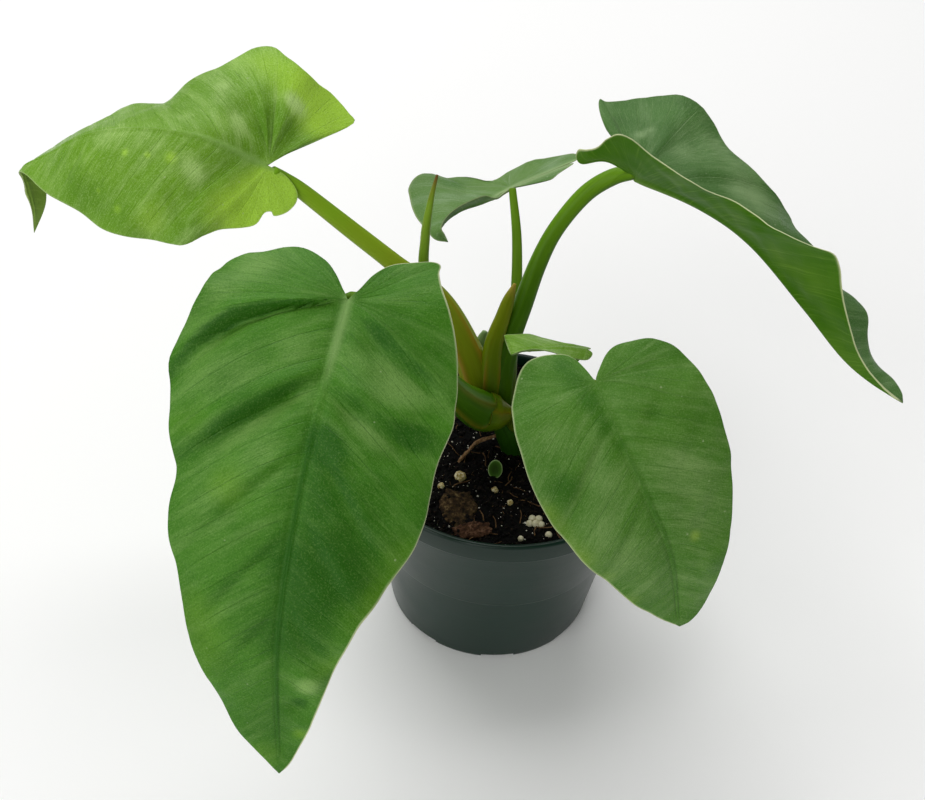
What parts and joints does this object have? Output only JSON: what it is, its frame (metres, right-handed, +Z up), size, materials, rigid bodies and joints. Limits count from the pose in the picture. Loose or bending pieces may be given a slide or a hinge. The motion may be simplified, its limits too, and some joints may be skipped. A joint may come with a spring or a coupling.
{
  "type": "potted philodendron giganteum",
  "caption": "Young potted philodendron: heart shaped leaves on arching stalks from one short stem, standing in a round plastic nursery pot filled with soil.",
  "frame": {"origin": "centre of the pot's base, on the surface that the pot stands on", "axes": "+Z up, -Y towards the front, where the two large drooping leaves hang, +X to the right"},
  "size_m": [0.4224, 0.3271, 0.2807],
  "materials": {
    "pot": "moulded polypropylene, satin",
    "soil": "damp peat and fine bark",
    "stem": "smooth green stem",
    "stalk": "smooth green stalk",
    "leaf": "waxy leaf",
    "young_leaf": "waxy young leaf",
    "dull_leaf": "leaf seen at a low angle",
    "root": "dry root",
    "bark": "weathered bark chip",
    "grain": "perlite and coated fertiliser"
  },
  "bodies": {
    "root": {"pot": "pot", "soil": "soil", "crown_stem": "stem", "stalk_front_left": "stalk", "stalk_back_left": "stalk", "stalk_back_right": "stalk", "stalk_front_right": "stalk", "stalk_back_centre": "stalk", "stalk_low": "stalk", "blade_front_left": "leaf", "blade_front_right": "leaf", "blade_back_left": "young_leaf", "blade_back_centre": "dull_leaf", "blade_back_right": "leaf", "blade_low": "young_leaf", "old_sheath": "dull_leaf", "rolled_shoot": "young_leaf", "surface_root": "root", "bark_chip_long": "bark", "bark_chip_flat": "bark", "prill_cluster": "grain", "prill_near_rim": "grain", "prill_front": "grain", "perlite_by_root": "grain", "perlite_left": "grain", "perlite_middle": "grain", "perlite_right": "grain", "seedling": "young_leaf"}
  },
  "joints": []
}
